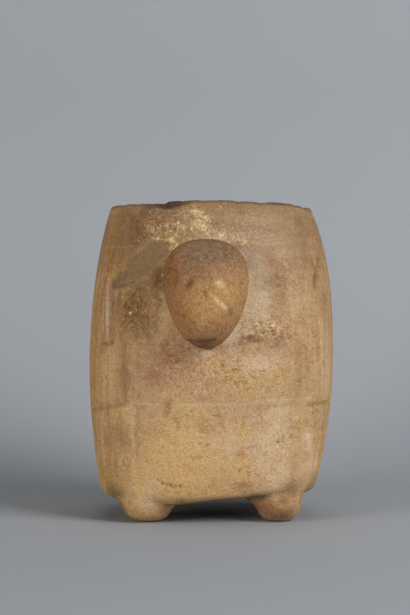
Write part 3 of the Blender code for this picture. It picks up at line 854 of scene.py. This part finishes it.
def paintMasks(made):
    points = readPoints(made)
    azimuth, z, out, onHead, inside = chart(points)
    wall = (1 - onHead) * (1 - inside)
    x = points[:, 0]
    onFace = onHead * ramp(points[:, 1], *stains["faceFrom"])
    masks = {}
    for name in (*stains["clouds"], "granular"):
        masks[name] = spread(lambda place: turnTo(azimuth, place) * mmPerDegree, z, stains[name]) * wall
    behind = ramp(np.abs(azimuth), *stains["cloudsFrom"]) * wall
    for order, (name, (size, strength)) in enumerate(stains["clouds"].items()):
        noise = stoneNoise(points * stains["cloudStretch"], size, stains["cloudSeed"] + order, 3)
        cloud = strength * ramp(noise, *stains["cloudShare"]) * behind
        masks[name] = np.maximum(masks[name] * (1 - behind), cloud)
    for name, least, start, width in stains["veils"]:
        masks[name] = np.maximum(masks[name], least * ramp(z, start, width) * wall)
    share, centre, halfWidth = stains["worn"]
    masks["patina"] = masks["patina"] * (1 - share * bell(azimuth, centre, halfWidth))
    least, back = stains["grains"]
    headLeast, more, start, width = stains["headGrains"]
    grains = np.maximum(np.maximum(masks["granular"], least), back * behind)
    masks["granular"] = grains * (1 - onHead) + onHead * (headLeast + more * ramp(z, start, width))
    masks["patch"] = np.clip(0.5 + polygonInset(azimuth, z, stains["patch"]) / stains["patchEdge"], 0, 1) * wall
    for name, area in (("ember", onHead), ("amber", onFace), ("gleam", onFace)):
        masks[name] = spread(lambda place: x - place, z, stains[name]) * area
    start, width, slant = stains["crown"]
    masks["crown"] = onHead * ramp(z, start + slant * (x - head["offset"]), width)

    # dirt keeps in the wall's lines and pits; the rim's edge is drawn darker; round the head's foot, up its sides, in
    # the face's hollows and in the mouth the darkening is painted shade
    dirtAndShade = 0.0 * z
    for line, halfWidth, _, lineDarkness in carving["grooves"]:
        away = lineDistance(azimuth, z, line)
        dirtAndShade = np.maximum(dirtAndShade, lineDarkness * bell(away, 0, dirtAndShadeLayout["grooves"] * halfWidth))
    strength, wide, high = dirtAndShadeLayout["pits"]
    for a0, z0, radius, _ in pits["named"]:
        across = turnTo(azimuth, a0) * pits["perDegree"]
        dirtAndShade = np.maximum(dirtAndShade, strength * blob(across, z - z0, wide * radius, high * radius))
    dirtAndShade = dirtAndShade * wall
    rimDarkening = dirtAndShadeLayout["rim"] + sum(more * bell(azimuth, *where) for more, *where in dirtAndShadeLayout["rimMore"])
    rimTop = body["height"] - np.interp(turnTo(azimuth, 0), *zip(*body["rimLine"]))
    reach, edge = dirtAndShadeLayout["rimReach"]
    deeper, centre, halfWidth = dirtAndShadeLayout["rimDeeper"]
    rimDarkening = rimDarkening * ramp(z, rimTop - reach - deeper * bell(azimuth, centre, halfWidth), edge) * (1 - inside)
    # painted shade in the crease round the head's foot, stronger on the left
    most, less, width = dirtAndShadeLayout["foot"]
    headFootShade = (most - less * smooth(x / width)) * bell(out, *dirtAndShadeLayout["footAt"]) * (onHead > 0)
    # painted shade up the head's sides, stronger on the left
    most, less, width = dirtAndShadeLayout["sides"]
    headSideShade = (most - less * smooth(x / width)) * onHead * ramp(out, *dirtAndShadeLayout["sidesTo"])
    # painted shade in the mouth
    x0, z0, halfU, halfV = dirtAndShadeLayout["mouth"]
    mouth = ramp(blob(x - x0, z - z0, halfU, halfV), *dirtAndShadeLayout["mouthShare"])
    layers = [dirtAndShade, rimDarkening, headFootShade, headSideShade, dirtAndShadeLayout["mouthStrength"] * mouth * onHead]
    # painted shade in the mouth's slits and the pit between the eyes; the brow's lines are drawn darker
    layers += [lineDarkness * bell(faceLine(x, z, line), 0, halfWidth) * onHead for line, halfWidth, _, lineDarkness in face["lines"]]
    # painted shade in the face's hollows, stronger where they are deeper
    deepest, perMm = dirtAndShadeLayout["hollows"]
    for x0, z0, halfU, halfV, height, *turn in face["forms"]:
        if height < deepest:
            layers.append(-perMm * height * blob(*turned(x, z, x0, z0, *turn), halfU, halfV) * onFace)
    masks["dirtAndShade"] = np.maximum.reduce(layers)
    # painted shade on the faces turned down near the base, laid in with the darker inside
    underside = span(z, *dirtAndShadeLayout["underside"]) * ramp(readNormals(made)[:, 2], *dirtAndShadeLayout["facingDown"])
    masks["inside"] = np.maximum(inside, dirtAndShadeLayout["undersideStrength"] * underside)
    masks["headSkin"] = onHead
    masks["upright"] = wall * bell(np.abs(azimuth), *stains["upright"]) * ramp(z, *stains["uprightTo"])
    masks["level"] = wall * ramp(z, *stains["levelFrom"])
    for name, values in masks.items():
        layer = made.data.attributes.new(name, "FLOAT", "POINT")
        layer.data.foreach_set("value", np.clip(values, 0, 1).astype(np.float32))
    return list(masks)


maskNames = paintMasks(vase)
print("stains, crust and dirt laid out")

limestone = {
    "wall": ("#CCA670", "#C49A75"),  # honey, rose
    "wallShare": (0.35, 0.65),
    "head": ("#BE9266", "#A97C50"),  # tan, brown
    # patterns: largest size in mm, stretch along x, y and z, detail, roughness, distortion
    "patterns": {
        "broad": (46.0, (1, 1, 1), 3.0, 0.55, 0.0),
        "mottle": (14.0, (1, 1, 1), 6.0, 0.85, 0.0),
        "patchy": (7.0, (1, 1, 1), 5.0, 0.70, 0.5),
        "speckle": (2.8, (1, 1, 1), 3.0, 0.90, 0.6),  # grains of lime and of iron stone, 0.5 to 2 mm
        "grain": (1.0, (1, 1, 1), 2.0, 0.70, 0.0),  # the stone's grain is near 0.3 mm; drawn coarser, to show
        "upright": (4.2, (1, 1, 0.09), 4.0, 0.75, 0.0),
        "level": (3.4, (0.14, 0.14, 1), 3.0, 0.70, 0.3),
        "iron": (3.6, (1, 1, 1), 3.0, 0.85, 0.8),
    },
    # how much each pattern lightens and darkens the skin
    "mottling": [("mottle", 1.10), ("speckle", 0.92), ("grain", 0.64)],
    # marks that lie only in places: pattern, where, how much
    "marks": [
        ("upright", "upright", 1.15), ("level", "level", 0.45), ("speckle", "granular", 2.35),
        ("grain", "granular", 1.25), ("iron", "granular", 0.50),
    ],
    # stains, each over the last: where, colour, pattern that breaks it up, by how much, start and full share, strength
    "layers": [
        ("cream", "#E2C4A0", "mottle", 1.0, 0.60, 1.30, 0.95),
        ("gold", "#E2B67B", "mottle", 0.9, 0.55, 1.25, 0.95),
        ("rust", "#AC7047", "mottle", 1.6, 0.95, 1.55, 0.85),
        ("ochre", "#BA8C52", "patchy", 0.7, 0.40, 1.10, 0.90),
        ("patina", "#694F36", "mosaic", 2.4, 2.35, 3.60, 0.95),
        ("crust", "#DCC189", "speckle", 4.0, 2.30, 3.20, 0.85),
        ("granular", "#9A5C34", "iron", 6.0, 4.35, 5.10, 0.70),
    ],
    "headLayers": [
        ("amber", "#C4904F", "mosaic", 1.4, 1.30, 2.50, 0.85),
        ("crown", "#745D47", "mosaic", 2.0, 1.95, 3.20, 0.95),
        ("ember", "#98653A", "mosaic", 1.2, 1.20, 2.30, 0.90),
        ("gleam", "#DDBD86", "mottle", 0.6, 0.50, 1.10, 0.90),
    ],
    "patch": ("#896E4F", 0.90),
    "patchEdge": (0.7, 0.72, 0.96),  # how much the patchy pattern frays it, start and full share
    "patchMottling": 0.6,  # share of the mottling that is left on it
    # dark brown of the dirt in lines and pits and of the painted shade round the head, in its mouth and hollows
    "dirtAndShade": ("#38271A", 0.90),
    "dirtAndShadeBreaking": (0.8, 0.6),  # by the speckle, and without it
    # darker inside, and painted shade on the underside
    "hollow": ("#6E5439", 0.55),
    # darker grains are a little redder and stronger in colour, as iron stained stone is: by brightness, without it
    "saturation": (-0.25, 1.25),
    "hue": (0.018, 0.482),
    # relief of the skin in mm: pecking, grain, and pores that the crust leaves open
    "relief": [("patchy", 0.55), ("speckle", 0.45), ("grain", 0.25)],
    "reliefMiddle": 0.61,  # taken off, so that the flatter places don't become steps
    "poreSpacing": 2.1,
    "pores": {"From Min": 0.10, "From Max": 0.34, "To Min": -0.22, "To Max": 0.0},
    "headSmoothness": 0.2,
    "smoothest": 0.25,  # share of the relief that is left on the patch
    "bump": 0.8,
    "matt": {"From Min": 0.3, "From Max": 0.7, "To Min": 0.66, "To Max": 0.84},  # roughness, by the mottle
    "ior": 1.55,
    "specular": 0.25,
}


def weatheredLimestone(maskNames):
    # buff limestone, pecked and rubbed smooth, then long buried: a dry matt skin that is mottled at every scale,
    # with brown ground stains above, clean golden stone below, a thin speckled lime crust and open pores
    stone = bpy.data.materials.new("weatheredLimestone")
    stone.use_nodes = True
    tree = stone.node_tree
    shader = tree.nodes["Principled BSDF"]
    place = addNode(tree, "TexCoord", {}, output="Object")
    inMm = addNode(tree, "VectorMath", {"operation": "MULTIPLY", 1: (1 / toMetres,) * 3}, {0: place})
    pattern = {}
    for name, (size, stretch, detail, roughness, distortion) in limestone["patterns"].items():
        stretched = addNode(tree, "VectorMath", {"operation": "MULTIPLY", 1: stretch}, {0: inMm})
        settings = {"Scale": 1 / size, "Detail": detail, "Roughness": roughness, "Distortion": distortion}
        pattern[name] = addNode(tree, "TexNoise", settings, {"Vector": stretched})
    pattern["mosaic"] = addNode(tree, "Math", {"operation": "ADD"}, {0: pattern["mottle"], 1: pattern["speckle"]})
    where = {name: addNode(tree, "Attribute", {"attribute_name": name}, output="Fac") for name in maskNames}

    def layered(colour, layers):
        for name, hexColour, breaker, amount, start, full, strength in layers:
            links = {0: pattern[breaker], 2: where[name]}
            share = addNode(tree, "Math", {"operation": "MULTIPLY_ADD", 1: amount}, links)
            settings = {"From Min": start, "From Max": full, "To Max": strength}
            share = addNode(tree, "MapRange", settings, {"Value": share})
            colour = addNode(tree, "Mix", {"data_type": "RGBA", 7: toLinear(hexColour)}, {0: share, 6: colour}, 2)
        return colour

    start, full = limestone["wallShare"]
    broad = addNode(tree, "MapRange", {"From Min": start, "From Max": full}, {"Value": pattern["broad"]})
    honey, rose = (toLinear(hexColour) for hexColour in limestone["wall"])
    tan, brown = (toLinear(hexColour) for hexColour in limestone["head"])
    wall = addNode(tree, "Mix", {"data_type": "RGBA", 6: honey, 7: rose}, {0: broad}, 2)
    wall = layered(wall, limestone["layers"])
    face = addNode(tree, "Mix", {"data_type": "RGBA", 6: tan, 7: brown}, {0: pattern["patchy"]}, 2)
    face = layered(face, limestone["headLayers"])
    colour = addNode(tree, "Mix", {"data_type": "RGBA"}, {0: where["headSkin"], 6: wall, 7: face}, 2)

    # the patch has a crisp edge, only a little frayed, and is evener than the stone round it
    fraying, start, full = limestone["patchEdge"]
    links = {0: pattern["patchy"], 2: where["patch"]}
    patchShare = addNode(tree, "Math", {"operation": "MULTIPLY_ADD", 1: fraying}, links)
    patchShare = addNode(tree, "MapRange", {"From Min": start, "From Max": full}, {"Value": patchShare})
    hexColour, strength = limestone["patch"]
    share = addNode(tree, "Math", {"operation": "MULTIPLY", 1: strength}, {0: patchShare})
    colour = addNode(tree, "Mix", {"data_type": "RGBA", 7: toLinear(hexColour)}, {0: share, 6: colour}, 2)

    # light and dark mottling at every scale, then the marks of rubbing
    first, gain = limestone["mottling"][0]
    value = addNode(tree, "Math", {"operation": "MULTIPLY_ADD", 1: gain, 2: -gain / 2}, {0: pattern[first]})
    for name, gain in limestone["mottling"][1:]:
        centred = addNode(tree, "Math", {"operation": "SUBTRACT", 1: 0.5}, {0: pattern[name]})
        value = addNode(tree, "Math", {"operation": "MULTIPLY_ADD", 1: gain}, {0: centred, 2: value})
    for name, place, gain in limestone["marks"]:
        marks = addNode(tree, "Math", {"operation": "MULTIPLY_ADD", 1: gain, 2: -gain / 2}, {0: pattern[name]})
        value = addNode(tree, "Math", {"operation": "MULTIPLY_ADD"}, {0: marks, 1: where[place], 2: value})
    evener = addNode(tree, "MapRange", {"To Min": 1.0, "To Max": limestone["patchMottling"]}, {"Value": patchShare})
    value = addNode(tree, "Math", {"operation": "MULTIPLY_ADD", 2: 1.0}, {0: value, 1: evener})
    tint = {"Color": colour, "Value": value}
    for socket, (byValue, without) in (("Saturation", limestone["saturation"]), ("Hue", limestone["hue"])):
        tint[socket] = addNode(tree, "Math", {"operation": "MULTIPLY_ADD", 1: byValue, 2: without}, {0: value})
    colour = addNode(tree, "HueSaturation", {}, tint)

    # dirt in lines and pits with painted shade round the head, in its mouth and hollows; then the darker inside and
    # the painted shade on the underside
    bySpeckle, without = limestone["dirtAndShadeBreaking"]
    settings = {"operation": "MULTIPLY_ADD", 1: bySpeckle, 2: without}
    dirtAndShadeShare = addNode(tree, "Math", settings, {0: pattern["speckle"]})
    dirtAndShadeShare = addNode(tree, "Math", {"operation": "MULTIPLY"}, {0: dirtAndShadeShare, 1: where["dirtAndShade"]})
    for share, (hexColour, strength) in ((dirtAndShadeShare, limestone["dirtAndShade"]), (where["inside"], limestone["hollow"])):
        share = addNode(tree, "Math", {"operation": "MULTIPLY", "use_clamp": True, 1: strength}, {0: share})
        colour = addNode(tree, "Mix", {"data_type": "RGBA", 7: toLinear(hexColour)}, {0: share, 6: colour}, 2)
    tree.links.new(colour, shader.inputs["Base Color"])

    cells = addNode(tree, "TexVoronoi", {"Scale": 1 / limestone["poreSpacing"]}, {"Vector": inMm}, "Distance")
    height = addNode(tree, "MapRange", limestone["pores"], {"Value": cells})
    for name, depth in limestone["relief"]:
        height = addNode(tree, "Math", {"operation": "MULTIPLY_ADD", 1: depth}, {0: pattern[name], 2: height})
    height = addNode(tree, "Math", {"operation": "SUBTRACT", 1: limestone["reliefMiddle"]}, {0: height})
    # flattened on the patch and a little on the head
    links = {0: where["headSkin"], 2: patchShare}
    smoothness = addNode(tree, "Math", {"operation": "MULTIPLY_ADD", 1: limestone["headSmoothness"]}, links)
    keep = addNode(tree, "MapRange", {"To Min": 1.0, "To Max": limestone["smoothest"]}, {"Value": smoothness})
    height = addNode(tree, "Math", {"operation": "MULTIPLY"}, {0: height, 1: keep})
    bump = addNode(tree, "Bump", {"Strength": limestone["bump"], "Distance": toMetres}, {"Height": height})
    tree.links.new(bump, shader.inputs["Normal"])
    matt = addNode(tree, "MapRange", limestone["matt"], {"Value": pattern["mottle"]})
    tree.links.new(matt, shader.inputs["Roughness"])
    shader.inputs["IOR"].default_value = limestone["ior"]
    shader.inputs["Specular IOR Level"].default_value = limestone["specular"]
    return stone


vase.data.materials.clear()
vase.data.materials.append(weatheredLimestone(maskNames))
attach(vase, "root")
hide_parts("vase")
print("stone finished")

sweep = {
    "floor": (-1500.0, 1500.0, -1400.0, 1500.0),  # first and last x, first and last y
    "halfWidth": 340.0,  # a roll just wider than the picture, so that the vase can be looked at from behind too
    "flatTo": 120.0,  # mm behind the box's middle
    "bend": 300.0,
    "height": 1500.0,
    "colour": "#A9AEB4",
    "roughness": 0.9,
    "specular": 0.15,
}


def paperSweep():
    left, right, near, far = sweep["floor"]
    points = [(left, near, 0), (right, near, 0), (left, far, 0), (right, far, 0)]
    profile = [(sweep["flatTo"] + sweep["bend"] * math.sin(turn), sweep["bend"] * (1 - math.cos(turn)))
               for turn in np.radians(np.linspace(0, 90, 40))]
    profile.append((sweep["flatTo"] + sweep["bend"], sweep["height"]))
    points += [(side * sweep["halfWidth"], y, z) for y, z in profile for side in (-1, 1)]
    faces = [(0, 1, 3, 2)] + [(2 * i, 2 * i + 1, 2 * i + 3, 2 * i + 2) for i in range(2, len(profile) + 1)]
    mesh = bpy.data.meshes.new("paperSweep")
    mesh.from_pydata(np.array(points) * toMetres, [], faces)
    mesh.shade_smooth()
    made = bpy.data.objects.new("paperSweep", mesh)
    bpy.context.scene.collection.objects.link(made)
    # matt background paper: pale bluish grey, no gloss
    paper = bpy.data.materials.new("mattPaper")
    paper.use_nodes = True
    shader = paper.node_tree.nodes["Principled BSDF"]
    shader.inputs["Base Color"].default_value = toLinear(sweep["colour"])
    shader.inputs["Roughness"].default_value = sweep["roughness"]
    shader.inputs["Specular IOR Level"].default_value = sweep["specular"]
    made.data.materials.append(paper)


paperSweep()

lights = {
    # place, what it points at, size, power in watts, colour
    "key": ((974, -818, 885), (0, 0, 90), 700, 13.5, "#FFFFFF"),
    "lowKey": ((1124, -943, 402), (0, 0, 90), 700, 4.0, "#FFFFFF"),
    "fill": ((-1124, -943, 402), (0, 0, 90), 700, 10.5, "#FFFAF2"),
    "backdrop": ((0, 20, 1530), (0, 420, 300), 900, 2.9, "#FFFFFF"),
}
worldLight = ("#C9CED6", 0.02)

for name, (place, aim, size, power, colour) in lights.items():
    data = bpy.data.lights.new(name, "AREA")
    data.shape = "SQUARE"
    data.size = size * toMetres
    data.energy = power
    data.color = toLinear(colour)[:3]
    lamp = bpy.data.objects.new(name, data)
    lamp.location = [toMetres * value for value in place]
    lamp.rotation_mode = "QUATERNION"
    lamp.rotation_quaternion = (Vector(aim) - Vector(place)).normalized().to_track_quat("-Z", "Y")
    bpy.context.scene.collection.objects.link(lamp)

world = bpy.data.worlds.new("studio")
world.use_nodes = True
world.node_tree.nodes["Background"].inputs["Color"].default_value = toLinear(worldLight[0])
world.node_tree.nodes["Background"].inputs["Strength"].default_value = worldLight[1]
bpy.context.scene.world = world
bpy.context.scene.view_settings.view_transform = "Standard"
print("stage and light set")
